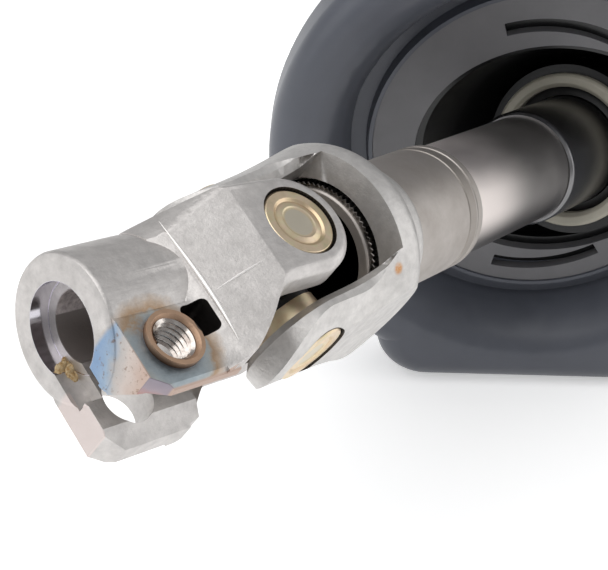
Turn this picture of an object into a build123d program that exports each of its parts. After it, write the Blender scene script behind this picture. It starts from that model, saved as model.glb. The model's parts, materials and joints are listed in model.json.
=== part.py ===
"""Intermediate steering shaft with two cross joints, a splined slip section and a bulkhead boot.

Units are mm and +Z is up. The shaft lies at rest: the boot stands on its flat bottom edge and the
gear end touches the floor. +X is the direction that the boot's bulkhead faces, towards the gear.
Each yoke is drawn in its own fork frame: the cross centre at 0, its pins along Z and its base along +X.
"""

import os
from math import cos, radians, sin

from build123d import *

# Where the shaft lies
SHAFT_YAW = -33.0  # heading of the tube from the boot's normal
SHAFT_DROP = 17.5  # the tube falls by this towards the gear
SHAFT_ROLL = 29.6  # turn of the upper cross about the tube
TUBE_BEND = 5.2  # rest bend of the upper joint about the tube yoke's pins
COLUMN_BEND = -7.9  # rest bend of the upper joint about the column yoke's pins
GEAR_BEND = 4.3  # rest bend of the lower joint
BOOT_STATION = 150.0  # along the tube from the upper cross to the boot's plane
LOWER_STATION = 330.0  # along the tube from the upper cross to the lower one
ORIGIN_X, ORIGIN_Y = 13.69, -5.47  # middle of the whole object's box from the boot's axis point

# Cross and its bearings, the common 16 by 40 size
CUP_R, CUP_FACE, CUP_OPEN = 8.0, 20.07, 9.9
CUP_BORE_R, CUP_FLOOR = 7.0, 17.9
TRUNNION_R, TRUNNION_TIP = 5.0, 17.5
SHOULDER_R, SHOULDER = 6.8, 7.7
RUNNING = 0.05

# Forks
EAR_FACE, EAR_INNER = 20.5, 13.7
COLUMN_EAR_R, TUBE_EAR_R = 11.6, 13.2
COLUMN_THROAT, CUP_THROAT = 25.5, 22.5
EAR_RELIEF = 1.6  # bevel on the cup fork's ears that clears the clamp yoke at full bend
CUP_SEAT, SEAT_GAP, CUP_BACK = 25.5, 1.65, 44.0

# Column clamp
BARREL_START, CLAMP_END = 24.5, 49.2
BARREL_R, BARREL_FRONT_R = 15.0, 14.8
COUNTERBORE_R, COUNTERBORE = 9.32, 4.3
SHAFT_BORE_R = 7.0
LUG_FACE, LUG_END, LUG_START = 13.3, 23.0, 31.5
SLIT_LOW, SLIT_HIGH = -5.2, 1.0
BOLT_X, BOLT_Y = 39.6, 14.2
THREAD_R, CLEAR_R = 4.35, 5.4
BOSS_R, BOSS_TOP, THREAD_LEAD = 5.9, 14.9, 0.7

# Tube and slip section, all as stations along the tube
TUBE_R, TUBE_WALL, MOUTH_WALL, NECK_STEP = 15.75, 3.35, 2.45, 1.05
TUBE_BORE_R, MOUTH_BORE_R, NECK_R = TUBE_R - TUBE_WALL, TUBE_R - MOUTH_WALL, TUBE_R - NECK_STEP
TUBE_START, TUBE_STEP, TUBE_END = 20.8, 75.7, 236.0
GROOVES, GROOVE_DEPTH = (68.0, 72.0), 0.25
SLEEVE_WALL, SLEEVE_START, SLEEVE_END = 1.2, 128.0, 184.0
SLEEVE_R = NECK_R + SLEEVE_WALL
LINING_WALL, SPLINE_TEETH, SPLINE_DEPTH, SPLINE_GAP = 1.8, 18, 1.1, 0.08
SPLINE_TIP_R = TUBE_BORE_R - LINING_WALL
SPLINE_ROOT_R = SPLINE_TIP_R - SPLINE_DEPTH
LINING_START, LINING_END = 190.0, 233.0
SLIP_START, SLIP_SHOULDER, STEM_SHOULDER = 176.0, 264.0, 1.0
STEM_R = SPLINE_TIP_R + STEM_SHOULDER

# Boot, as distances along its own normal and radii about its own middle
BOOT_SIDE, BOOT_UP = 2.5, -1.0
RIM_R, RIM_FRONT, RIM_BACK, RIM_FLAT = 79.0, -10.5, 12.0, 0.5
RIM_CORNER_X, RIM_CORNER_R = 46.0, 16.0
RIM_WIDTH, CREST_WIDTH, GROOVE_WEB, RIDGE_WEB, RIDGE_LIP = 29.8, 11.0, 6.3, 1.8, 1.2
PLATE_R, PLATE_FRONT, PLATE_BACK = RIM_R - RIM_WIDTH, 6.2, 9.4
PLATE_SIDE, PLATE_TOP, PLATE_HOLE_AT = 9.4, 14.0, (-3.0, -2.0)
PLATE_HOLE_Y, PLATE_HOLE_Z = PLATE_R - PLATE_SIDE, PLATE_R - PLATE_TOP
SLOT_EDGE, SLOT_WIDTH, SLOT_AT = 8.2, 3.8, (1.5, -1.5)
SLOTS = ((67.0, 123.0), (-84.0, -128.0))
BUSH_WALL, BUSH_START, BUSH_END = 6.7, 158.0, 171.0
BUSH_R = SLEEVE_R + BUSH_WALL
MOUTH_ROOM, BUSH_MOUTH = 2.7, 6.0
BUSH_MOUTH_R = SLEEVE_R + MOUTH_ROOM
CONE_FLANGE_EDGE, CONE_END, CONE_WALL, NECK_GAP = 5.2, 186.0, 2.4, 1.2
CONE_FLANGE_R = PLATE_R - CONE_FLANGE_EDGE
BOOT_LIFT = RIM_R - RIM_FLAT - BOOT_UP  # height of the tube's axis at the boot's plane


def tube_frame(station, roll=0.0):
    """Frame on the tube's axis: X along the tube towards the gear."""
    heading = Rot(0, 0, SHAFT_YAW) * Rot(0, SHAFT_DROP, 0)
    boot_point = Pos(-ORIGIN_X, -ORIGIN_Y, BOOT_LIFT) * heading
    return boot_point * Pos(station - BOOT_STATION, 0, 0) * Rot(roll, 0, 0)


UPPER = tube_frame(0, SHAFT_ROLL)
CROSS_FRAME = UPPER * Rot(0, -TUBE_BEND, 0)
COLUMN_FORK = CROSS_FRAME * Rot(0, 0, COLUMN_BEND) * Rot(0, 0, 180)
TUBE_FORK = UPPER * Rot(90, 0, 0)
LOWER = tube_frame(LOWER_STATION)
LOWER_FORK = LOWER * Rot(0, 0, 180) * Rot(90, 0, 0)
LOWER_CROSS = LOWER * Rot(0, -GEAR_BEND, 0)
GEAR_FORK = LOWER_CROSS
TUBE = tube_frame(0)
BOOT = Pos(-ORIGIN_X, -ORIGIN_Y + BOOT_SIDE, BOOT_LIFT + BOOT_UP)


def outline(plane, points):
    """Closed face with straight sides on a plane."""
    with BuildSketch(plane) as face:
        with BuildLine():
            Polyline(*points, close=True)
        make_face()
    return face.sketch


def turned(points):
    """Solid of revolution about X from (x, radius) points."""
    with BuildPart() as part:
        revolve(outline(Plane.XY, points), axis=Axis.X)
    return part.part


def bearing_pair(points):
    """The same ring or cup, turned about Z from (radius, z) points, on both ends of the pins."""
    with BuildPart() as part:
        revolve(outline(Plane.XZ, points), axis=Axis.Z)
        mirror(about=Plane.XY)
    return part.part


def cups():
    """Two drawn bearing cups with a stepped, dished face."""
    rim, dish, eye = 5.9, 3.9, 0.35
    return bearing_pair(
        [
            (0, CUP_FACE - eye),
            (dish - 0.5, CUP_FACE - eye),
            (dish, CUP_FACE - 0.1),
            (rim - 0.6, CUP_FACE - 0.1 - eye),
            (rim, CUP_FACE),
            (CUP_R - 0.4, CUP_FACE),
            (CUP_R, CUP_FACE - 0.4),
            (CUP_R, CUP_OPEN),
            (CUP_BORE_R, CUP_OPEN),
            (CUP_BORE_R, CUP_FLOOR),
            (0, CUP_FLOOR),
        ]
    )


def seals():
    """Two rubber rings that close the cups against the cross."""
    low, lip = SHOULDER + 0.4, 0.6
    return bearing_pair(
        [
            (TRUNNION_R + 0.35, low),
            (CUP_BORE_R + 0.2, low),
            (CUP_R - 0.2, low + lip),
            (CUP_R - 0.2, CUP_OPEN),
            (TRUNNION_R + 0.35, CUP_OPEN),
        ]
    )


def rollers():
    """The needle set of each cup, as one ring that the trunnion turns in."""
    return bearing_pair(
        [
            (TRUNNION_R + RUNNING, CUP_OPEN + 0.6),
            (CUP_BORE_R, CUP_OPEN + 0.6),
            (CUP_BORE_R, CUP_FLOOR - 0.2),
            (TRUNNION_R + RUNNING, CUP_FLOOR - 0.2),
        ]
    )


def cross():
    """Forged cross with four ground trunnions."""
    with BuildPart() as part:
        Box(2 * SHOULDER, 2 * SHOULDER, 2 * SHOULDER)
        Sphere(SHOULDER * 1.32, mode=Mode.INTERSECT)
        for turn in (0, 90):
            with Locations(Rot(turn, 0, 0)):
                Cylinder(SHOULDER_R, 2 * SHOULDER)
                Cylinder(TRUNNION_R, 2 * TRUNNION_TIP)
        chamfer(part.edges().filter_by(GeomType.CIRCLE).filter_by(lambda e: abs(e.radius - TRUNNION_R) < 0.01)
                .filter_by(lambda e: e.center().length > TRUNNION_TIP - 0.1), 0.6)
        Cylinder(2.2, 4 * TRUNNION_TIP, rotation=(0, 90, 0), mode=Mode.SUBTRACT)
    return part.part


def cup_holes():
    """Cup bores of a fork with a shallow recess at each face, cut in the part that is open."""
    Cylinder(CUP_R, 60, mode=Mode.SUBTRACT)
    for end in (1, -1):
        with Locations((0, 0, end * EAR_FACE)):
            Cylinder(CUP_R + 0.35, 2.0, mode=Mode.SUBTRACT)


def clamp_plan():
    """Side plates of the clamp yoke seen along the pins: ear, flare and neck."""
    with BuildSketch(Plane.XY) as plan:
        with BuildLine():
            RadiusArc((0, -COLUMN_EAR_R), (0, COLUMN_EAR_R), COLUMN_EAR_R)
            Line((0, COLUMN_EAR_R), (8.5, COLUMN_EAR_R))
            Spline((8.5, COLUMN_EAR_R), (17.3, 15.6), (25.5, 21.8), tangents=[(1, 0), (1, 0.55)])
            Polyline((25.5, 21.8), (LUG_START, LUG_END), (LUG_START, -12.8), (0, -COLUMN_EAR_R))
        make_face()
    return plan.sketch


def clamp_section():
    """Side plates of the clamp yoke seen along the slit: thick ears, bent in to the collar."""
    root, bend_start, bend_end = 15.4, 12.5, 27.5
    half = [(bend_start, EAR_FACE), (bend_end, root), (LUG_START, LUG_FACE)]
    other = [(x, -z) for x, z in reversed(half)]
    with BuildSketch(Plane.XZ, mode=Mode.PRIVATE) as throat:
        with Locations((-20, 0)):
            Rectangle(COLUMN_THROAT + 20, 2 * EAR_INNER, align=(Align.MIN, Align.CENTER))
        fillet(throat.vertices().group_by(Axis.X)[-1], 5.5)
    with BuildSketch(Plane.XZ) as section:
        with BuildLine():
            Polyline((-20, EAR_FACE), *half, *other, (-20, -EAR_FACE), close=True)
        make_face()
        add(throat.sketch, mode=Mode.SUBTRACT)
    return section.sketch


def clamp_plates():
    """Side plates of the clamp yoke, bent in to the collar and rounded off on the side without lugs."""
    with BuildPart() as part:
        extrude(clamp_plan(), amount=EAR_FACE, both=True)
        extrude(clamp_section(), amount=40, both=True, mode=Mode.INTERSECT)
        outer = part.faces().filter_by(Axis.Z).filter_by(lambda f: abs(abs(f.center().Z) - EAR_FACE) < 0.01)
        fillet(outer.edges().filter_by(lambda e: abs(e.center().X - 12.5) > 0.2), 2.2)
    with BuildPart() as envelope:
        cone = [(-20, 0), (-20, 23.4), (12, 23.4), (27.5, 16.7), (LUG_START + 1, 14.8), (LUG_START + 1, 0)]
        add(turned(cone))
        Box(100, 40, 60, align=(Align.CENTER, Align.MIN, Align.CENTER))
    with BuildPart() as trimmed:
        add(part.part)
        add(envelope.part, mode=Mode.INTERSECT)
    return trimmed.part


def clamp_lugs():
    """The two bolt lugs as one block, before the slit is cut."""
    front, cut = CLAMP_END - 0.6, 1.0
    plan = outline(
        Plane.XY, [(28, 0), (28, LUG_END), (CLAMP_END - 4.8, LUG_END), (front, 19.8), (front, 0)]
    )
    section = outline(
        Plane.YZ,
        [
            (0, 11.4),
            (7.5, LUG_FACE),
            (LUG_END - cut, LUG_FACE),
            (LUG_END, LUG_FACE - cut),
            (LUG_END, -LUG_FACE + cut),
            (LUG_END - cut, -LUG_FACE),
            (7.5, -LUG_FACE),
            (0, -11.4),
        ],
    )
    with BuildPart() as part:
        extrude(plan, amount=LUG_FACE, both=True)
        extrude(section, amount=60, mode=Mode.INTERSECT)
    return part.part


def clamp_slit():
    """Slit between the lugs, opened out towards their ends, as a solid to cut away."""
    upper = [(15.2, SLIT_HIGH), (20.5, 9.2), (LUG_END, 10.6), (30, 10.6)]
    lower = [(30, SLIT_LOW - 6), (LUG_END, SLIT_LOW - 2.8), (18.8, SLIT_LOW), (0, SLIT_LOW)]
    with BuildPart() as part:
        extrude(outline(Plane.YZ.offset(COLUMN_THROAT - 3), [(0, SLIT_HIGH), *upper, *lower]), amount=40)
    return part.part


def clamp_yoke():
    """Forged clamp yoke: fork at one end, split collar with two bolt lugs at the other."""
    barrel = [
        (BARREL_START, 0),
        (BARREL_START, BARREL_R - 0.6),
        (BARREL_START + 1.5, BARREL_R),
        (BARREL_START + 9.5, BARREL_R),
        (CLAMP_END - 1.2, BARREL_FRONT_R),
        (CLAMP_END - 0.4, BARREL_FRONT_R - 0.4),
        (CLAMP_END, BARREL_FRONT_R - 1.4),
        (CLAMP_END, 0),
    ]
    with BuildPart() as part:
        add(clamp_plates())
        add(turned(barrel))
        add(clamp_lugs())
        with Locations((CLAMP_END, 0, 0)):
            Cylinder(COUNTERBORE_R, 2 * COUNTERBORE, rotation=(0, 90, 0), mode=Mode.SUBTRACT)
        with Locations((COLUMN_THROAT - 6, 0, 0)):
            Cylinder(SHAFT_BORE_R, 60, rotation=(0, 90, 0), align=(Align.CENTER, Align.CENTER, Align.MIN),
                     mode=Mode.SUBTRACT)
        add(clamp_slit(), mode=Mode.SUBTRACT)
        with Locations((CLAMP_END, 0, -3.4)):
            Box(2 * COUNTERBORE, 12.8, 9.8, align=(Align.CENTER, Align.MIN, Align.CENTER), mode=Mode.SUBTRACT)
        with BuildSketch(Plane.XY.offset(-0.5), mode=Mode.PRIVATE) as window:
            with Locations((31.2, 11.5)):
                RectangleRounded(5.6, 7.0, 1.3)
        extrude(window.sketch, amount=20, mode=Mode.SUBTRACT)
        with Locations((BOLT_X, BOLT_Y, LUG_FACE - 1)):
            Cylinder(BOSS_R, BOSS_TOP - LUG_FACE + 1, align=(Align.CENTER, Align.CENTER, Align.MIN))
        with Locations((BOLT_X, BOLT_Y, -2)):
            Cylinder(THREAD_R, 30, align=(Align.CENTER, Align.CENTER, Align.MIN), mode=Mode.SUBTRACT)
            Cylinder(CLEAR_R, 30, align=(Align.CENTER, Align.CENTER, Align.MAX), mode=Mode.SUBTRACT)
        with Locations((BOLT_X, BOLT_Y, BOSS_TOP - THREAD_LEAD)):
            Cone(THREAD_R, THREAD_R + THREAD_LEAD, THREAD_LEAD, align=(Align.CENTER, Align.CENTER, Align.MIN),
                 mode=Mode.SUBTRACT)
        cup_holes()
    return part.part


def cup_profile(stem_r):
    """Half section of the cup fork's outside: ears, bowl and the neck that holds the stem."""
    with BuildSketch(Plane.XY) as profile:
        with BuildLine():
            Line((-16, 0), (-16, 20.4))
            Spline((-16, 20.4), (3, 21.4), (19, 23.1), (25, 24.1), (28, 24.0), (31, 22.6), (36, 18.6),
                   (40, max(16.9, stem_r + 1.3)), (CUP_BACK - 1, stem_r + 1.0),
                   tangents=[(1, 0.05), (1, -0.4)])
            Polyline((CUP_BACK - 1, stem_r + 1.0), (CUP_BACK, stem_r + 0.5), (CUP_BACK, 0), (-16, 0))
        make_face()
    return profile.sketch


def cup_plan():
    """Outline of the cup fork seen along its pins: round ears that flare out to the bowl."""
    rim, wide = 22.5, 26
    with BuildSketch(Plane.XY) as plan:
        with BuildLine():
            RadiusArc((0, -TUBE_EAR_R), (0, TUBE_EAR_R), TUBE_EAR_R)
            Line((0, TUBE_EAR_R), (8, TUBE_EAR_R + 0.3))
            Spline((8, TUBE_EAR_R + 0.3), (17, 16.8), (rim, wide), tangents=[(1, 0.05), (0.25, 1)])
            Polyline((rim, wide), (70, wide), (70, -wide), (rim, -wide))
            Spline((rim, -wide), (17, -16.8), (8, -TUBE_EAR_R - 0.3), tangents=[(-0.25, 1), (-1, 0.05)])
            Line((8, -TUBE_EAR_R - 0.3), (0, -TUBE_EAR_R))
        make_face()
    return plan.sketch


def cup_fork(stem_r):
    """Forged fork with a round bowl base, its two ears at the pins and a stepped bore for the stem."""
    seat_r = TUBE_R + SEAT_GAP
    bore = [
        (CUP_THROAT - 5.5, 0),
        (CUP_THROAT - 5.5, EAR_INNER),
        (CUP_THROAT - 2, seat_r),
        (CUP_SEAT, seat_r),
        (CUP_SEAT + 0.4, seat_r - 0.5),
        (CUP_SEAT + 0.4, stem_r),
        (70, stem_r),
        (70, 0),
    ]
    with BuildPart() as part:
        revolve(cup_profile(stem_r), axis=Axis.X)
        extrude(cup_plan(), amount=EAR_FACE, both=True, mode=Mode.INTERSECT)
        with Locations((-30, 0, 0)):
            Box(30 + CUP_THROAT, 80, 2 * EAR_INNER, align=(Align.MIN, Align.CENTER, Align.CENTER),
                mode=Mode.SUBTRACT)
        inner = part.faces().filter_by(Axis.Z).filter_by(lambda f: abs(abs(f.center().Z) - EAR_INNER) < 0.01)
        chamfer(inner.edges().filter_by(lambda e: e.center().X < CUP_THROAT - 6), EAR_RELIEF)
        add(turned(bore), mode=Mode.SUBTRACT)
        cup_holes()
    return part.part


def steering_tube():
    """Drawn tube: full size at the yoke, then a turned neck down to the slip end."""
    rings = []
    for station in GROOVES:
        rings += [(station - 0.5, TUBE_R), (station - 0.3, TUBE_R - GROOVE_DEPTH),
                  (station + 0.3, TUBE_R - GROOVE_DEPTH), (station + 0.5, TUBE_R)]
    return turned(
        [
            (TUBE_START, MOUTH_BORE_R),
            (TUBE_START, TUBE_R - 0.4),
            (TUBE_START + 0.4, TUBE_R),
            *rings,
            (TUBE_STEP - 1.2, TUBE_R),
            (TUBE_STEP, TUBE_R - 0.7),
            (TUBE_STEP, NECK_R),
            (TUBE_END - 0.8, NECK_R),
            (TUBE_END, NECK_R - 0.8),
            (TUBE_END, TUBE_BORE_R),
            (TUBE_START + 20, TUBE_BORE_R),
            (TUBE_START + 18, MOUTH_BORE_R),
        ]
    )


def spline_outline(plane, tip, root):
    """Straight-sided spline section with its teeth between the root and tip radii."""
    points = []
    pitch = 360 / SPLINE_TEETH
    for tooth in range(SPLINE_TEETH):
        for share, radius in ((-0.32, root), (-0.2, tip), (0.2, tip), (0.32, root)):
            angle = radians((tooth + share) * pitch)
            points.append((radius * cos(angle), radius * sin(angle)))
    return outline(plane, points)


def spline_lining():
    """Internally splined nylon lining pressed into the tube's lower end."""
    tip, root = SPLINE_TIP_R + SPLINE_GAP, SPLINE_ROOT_R + SPLINE_GAP
    with BuildPart() as part:
        outside = [(LINING_START, TUBE_BORE_R), (LINING_END, TUBE_BORE_R)]
        add(turned([(LINING_START, 0), *outside, (LINING_END, 0)]))
        hole = spline_outline(Plane.YZ.offset(LINING_START - 1), tip, root)
        extrude(hole, amount=LINING_END - LINING_START + 2, mode=Mode.SUBTRACT)
    return part.part


def slip_shaft():
    """Splined inner shaft with a plain stem that is welded into the lower fork."""
    stem_end = LOWER_STATION - CUP_THROAT
    stem = [
        (SLIP_SHOULDER - 2, 0),
        (SLIP_SHOULDER - 2, SPLINE_ROOT_R),
        (SLIP_SHOULDER + 2, STEM_R),
        (stem_end - 1, STEM_R),
        (stem_end, STEM_R - 1),
        (stem_end, 0),
    ]
    with BuildPart() as part:
        bar = spline_outline(Plane.YZ.offset(SLIP_START), SPLINE_TIP_R, SPLINE_ROOT_R)
        extrude(bar, amount=SLIP_SHOULDER - SLIP_START)
        add(turned(stem))
    return part.part


def bush_sleeve():
    """Polished sleeve on the tube that the boot's bush runs on."""
    return turned(
        [
            (SLEEVE_START, NECK_R),
            (SLEEVE_START, NECK_R + 0.4),
            (SLEEVE_START + 1.5, SLEEVE_R),
            (SLEEVE_END - 1.0, SLEEVE_R),
            (SLEEVE_END, SLEEVE_R - 0.6),
            (SLEEVE_END, NECK_R),
        ]
    )


def slip_wiper():
    """Rubber wiper on the tube's end that keeps dirt off the spline."""
    return turned(
        [
            (TUBE_END, SPLINE_TIP_R + 0.3),
            (TUBE_END, NECK_R - 0.8),
            (TUBE_END + 2.5, NECK_R - 0.8),
            (TUBE_END + 5.5, SPLINE_TIP_R + 1.3),
            (TUBE_END + 5.5, SPLINE_TIP_R + 0.3),
        ]
    )


def fork_weld():
    """Weld bead between the stem and the lower fork."""
    end = LOWER_STATION - CUP_BACK
    bead = [(end - 1.4, STEM_R + 1.1), (end - 0.3, STEM_R + 1.2), (end, STEM_R + 0.4)]
    return turned([(end - 2.4, STEM_R), *bead, (end, STEM_R)])


def rim_outline():
    """Round outline with a flat bottom edge between two rounded corners, drawn as (Y, Z)."""
    floor = -(BOOT_LIFT + BOOT_UP)
    with BuildSketch() as foot:
        with Locations((0, floor)):
            Rectangle(2 * RIM_CORNER_X, 50, align=(Align.CENTER, Align.MIN))
        fillet(foot.vertices().group_by(Axis.Y)[0], RIM_CORNER_R)
    with BuildSketch() as shape:
        Circle(RIM_R)
        add(foot.sketch)
        with Locations((0, floor)):
            Rectangle(300, 300, align=(Align.CENTER, Align.MIN), mode=Mode.INTERSECT)
    return Plane.YZ.offset(RIM_FRONT) * shape.sketch


def boot_rim():
    """Thick rubber rim with a rounded front crest, a deep groove and a thin ridge inside it."""
    crest, groove = RIM_R - CREST_WIDTH, PLATE_R + GROOVE_WEB
    wall = [(RIM_FRONT + depth, groove + share * (crest - groove))
            for depth, share in ((1.2, 0.72), (5.0, 0.4), (12.0, 0.12))]
    inside = [
        (RIM_FRONT - 1, 0),
        (RIM_FRONT - 1, crest),
        (RIM_FRONT, crest),
        *wall,
        (PLATE_BACK, groove),
        (PLATE_BACK, PLATE_R + RIDGE_WEB),
        (PLATE_FRONT - 0.6, PLATE_R + RIDGE_LIP),
        (PLATE_FRONT - 0.6, PLATE_R),
        (PLATE_BACK, PLATE_R),
        (PLATE_BACK, CONE_FLANGE_R),
        (RIM_BACK + 1, CONE_FLANGE_R),
        (RIM_BACK + 1, 0),
    ]
    with BuildPart() as part:
        extrude(rim_outline(), amount=RIM_BACK - RIM_FRONT)
        front = part.faces().sort_by(Axis.X)[0]
        fillet(front.edges(), 8.5)
        back = part.faces().sort_by(Axis.X)[-1]
        fillet(back.edges(), 6.0)
        add(turned(inside), mode=Mode.SUBTRACT)
    return part.part


def boot_plate():
    """Stiff ring of the boot with two curved slots, set on the rim's inner web."""
    with BuildPart() as part:
        with BuildSketch(Plane.YZ.offset(PLATE_FRONT)):
            Circle(PLATE_R)
            with Locations(PLATE_HOLE_AT):
                Ellipse(PLATE_HOLE_Y, PLATE_HOLE_Z, mode=Mode.SUBTRACT)
            with Locations(SLOT_AT):
                for start, end in SLOTS:
                    middle_line = CenterArc((0, 0), PLATE_R - SLOT_EDGE, start, end - start)
                    SlotArc(middle_line, SLOT_WIDTH, mode=Mode.SUBTRACT)
        extrude(amount=PLATE_BACK - PLATE_FRONT)
    return part.part


def across_tube(station):
    """Plane square to the tube at a station, in the boot's own frame."""
    tube = BOOT.inverse() * TUBE
    here = (tube * Pos(station, 0, 0)).position
    along = (tube * Pos(station + 1, 0, 0)).position - here
    level = (tube * Pos(station, 1, 0)).position - here
    return Plane(origin=here, x_dir=level, z_dir=along)


def boot_cone():
    """Skewed rubber cone behind the plate, with a flange and a neck that stands forward round the bush."""
    wall, gap = CONE_WALL, 0.1
    outer_y, outer_z = PLATE_HOLE_Y - gap, PLATE_HOLE_Z - gap
    with BuildPart() as part:
        with BuildSketch(Plane.YZ.offset(RIM_BACK)):
            with Locations(PLATE_HOLE_AT):
                Ellipse(outer_y, outer_z)
        with BuildSketch(across_tube(CONE_END)):
            Circle(BUSH_R + wall)
        loft(ruled=True)
        with BuildSketch(Plane.YZ.offset(RIM_BACK)):
            with Locations(PLATE_HOLE_AT):
                Ellipse(outer_y - wall, outer_z - wall)
        with BuildSketch(across_tube(CONE_END)):
            Circle(BUSH_R)
        loft(ruled=True, mode=Mode.SUBTRACT)
        with BuildSketch(Plane.YZ.offset(PLATE_BACK)):
            Circle(CONE_FLANGE_R)
            with Locations(PLATE_HOLE_AT):
                Ellipse(outer_y - wall, outer_z - wall, mode=Mode.SUBTRACT)
        extrude(amount=RIM_BACK - PLATE_BACK)
        with BuildSketch(across_tube(BUSH_START + wall)):
            Circle(BUSH_R + wall)
        extrude(amount=CONE_END - BUSH_START)
        with BuildSketch(across_tube(BUSH_START)):
            Circle(BUSH_R)
        extrude(amount=CONE_END - BUSH_START, mode=Mode.SUBTRACT)
        with BuildSketch(across_tube(BUSH_START)):
            Circle(SLEEVE_R + NECK_GAP)
        extrude(amount=CONE_END - BUSH_START + 2 * wall, mode=Mode.SUBTRACT)
    return part.part


def boot_bush():
    """Plastic bush ring in the boot's neck that runs on the sleeve."""
    inner = SLEEVE_R + RUNNING
    return turned(
        [
            (BUSH_START, BUSH_MOUTH_R + 1.2),
            (BUSH_START, BUSH_R - 0.8),
            (BUSH_START + 0.8, BUSH_R),
            (BUSH_END, BUSH_R),
            (BUSH_END, inner),
            (BUSH_START + BUSH_MOUTH, inner),
            (BUSH_START + BUSH_MOUTH, BUSH_MOUTH_R),
            (BUSH_START + 1.2, BUSH_MOUTH_R),
        ]
    )


def boot_seal():
    """Rubber lip seal in the mouth of the bush."""
    start = BUSH_START + BUSH_MOUTH - 4.0
    return turned(
        [
            (start, SLEEVE_R + 0.3),
            (start + 1.5, BUSH_MOUTH_R),
            (BUSH_START + BUSH_MOUTH, BUSH_MOUTH_R),
            (BUSH_START + BUSH_MOUTH, SLEEVE_R + 0.3),
        ]
    )


PARTS = {
    "column_yoke": (clamp_yoke, COLUMN_FORK),
    "column_cups": (cups, COLUMN_FORK),
    "column_cup_seals": (seals, COLUMN_FORK),
    "column_rollers": (rollers, COLUMN_FORK),
    "upper_cross": (cross, CROSS_FRAME),
    "tube_yoke": (lambda: cup_fork(TUBE_R), TUBE_FORK),
    "tube_yoke_cups": (cups, TUBE_FORK),
    "tube_yoke_seals": (seals, TUBE_FORK),
    "tube_yoke_rollers": (rollers, TUBE_FORK),
    "steering_tube": (steering_tube, TUBE),
    "bush_sleeve": (bush_sleeve, TUBE),
    "spline_lining": (spline_lining, TUBE),
    "slip_wiper": (slip_wiper, TUBE),
    "boot_rim": (boot_rim, BOOT),
    "boot_plate": (boot_plate, BOOT),
    "boot_cone": (boot_cone, BOOT),
    "boot_bush": (boot_bush, TUBE),
    "boot_seal": (boot_seal, TUBE),
    "slip_shaft": (slip_shaft, TUBE),
    "fork_weld": (fork_weld, TUBE),
    "lower_fork": (lambda: cup_fork(STEM_R), LOWER_FORK),
    "lower_fork_cups": (cups, LOWER_FORK),
    "lower_fork_seals": (seals, LOWER_FORK),
    "lower_fork_rollers": (rollers, LOWER_FORK),
    "lower_cross": (cross, LOWER_CROSS),
    "gear_yoke": (clamp_yoke, GEAR_FORK),
    "gear_cups": (cups, GEAR_FORK),
    "gear_cup_seals": (seals, GEAR_FORK),
    "gear_rollers": (rollers, GEAR_FORK),
}

os.makedirs("parts", exist_ok=True)
for name, (make, place) in PARTS.items():
    solid = make().moved(place)
    solid.label = name
    export_step(solid, f"parts/{name}.step")
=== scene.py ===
"""Intermediate steering shaft: the looks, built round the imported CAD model."""

import json
import math

import bpy
from mathutils import Matrix, Vector

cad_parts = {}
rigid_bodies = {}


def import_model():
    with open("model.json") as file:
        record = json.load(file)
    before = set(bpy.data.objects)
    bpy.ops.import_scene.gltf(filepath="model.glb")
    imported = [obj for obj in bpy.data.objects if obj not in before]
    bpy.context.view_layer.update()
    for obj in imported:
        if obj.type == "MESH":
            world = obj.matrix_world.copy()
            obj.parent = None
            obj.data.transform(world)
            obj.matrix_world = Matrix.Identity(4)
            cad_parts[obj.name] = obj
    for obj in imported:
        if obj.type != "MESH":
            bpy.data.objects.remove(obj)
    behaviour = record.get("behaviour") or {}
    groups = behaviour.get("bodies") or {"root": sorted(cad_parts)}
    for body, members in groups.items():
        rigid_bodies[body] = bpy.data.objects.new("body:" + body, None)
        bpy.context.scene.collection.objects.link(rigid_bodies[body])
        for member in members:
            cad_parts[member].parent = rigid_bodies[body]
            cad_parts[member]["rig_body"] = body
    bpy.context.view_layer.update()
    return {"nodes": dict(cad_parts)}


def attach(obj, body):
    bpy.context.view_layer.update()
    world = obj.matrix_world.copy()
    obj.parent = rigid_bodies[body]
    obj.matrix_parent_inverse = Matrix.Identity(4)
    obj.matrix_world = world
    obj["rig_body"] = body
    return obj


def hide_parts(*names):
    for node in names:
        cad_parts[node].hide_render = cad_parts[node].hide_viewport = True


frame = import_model()
nodes = frame["nodes"]
bpy.ops.object.select_all(action="DESELECT")

# Camera. The photograph looks down on the column end from 38 degrees, with an 87 mm lens on a
# 36 mm wide sensor, from 0.49 m away.
RIGHT, DOWN = Vector((0.038241, -0.999283, 0.001456)), Vector((-0.614959, -0.024613, -0.788224))
EYE = (-0.372783, 0.063534, 0.310631)
lens = bpy.data.cameras.new("camera")
lens.lens, lens.sensor_width, lens.sensor_fit, lens.clip_start = 87.11, 36.0, "HORIZONTAL", 0.01
camera = bpy.data.objects.new("camera", lens)
axes = Matrix((RIGHT, -DOWN, -RIGHT.cross(DOWN))).transposed()
camera.matrix_world = Matrix.Translation(EYE) @ axes.to_4x4()
bpy.context.scene.collection.objects.link(camera)
bpy.context.scene.camera = camera
bpy.context.scene.view_settings.view_transform = "Standard"


# Floor and lights. A white paper sweep in a white tent, lit by one wide softbox overhead, a strip
# on the left and a card on the right, the usual way to light bare metal on white.
def linear(hex_code):
    """sRGB hex as the linear colour that a shader socket takes."""
    parts = [int(hex_code[i:i + 2], 16) / 255 for i in (0, 2, 4)]
    return tuple(c / 12.92 if c <= 0.04045 else ((c + 0.055) / 1.055) ** 2.4 for c in parts) + (1.0,)


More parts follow.
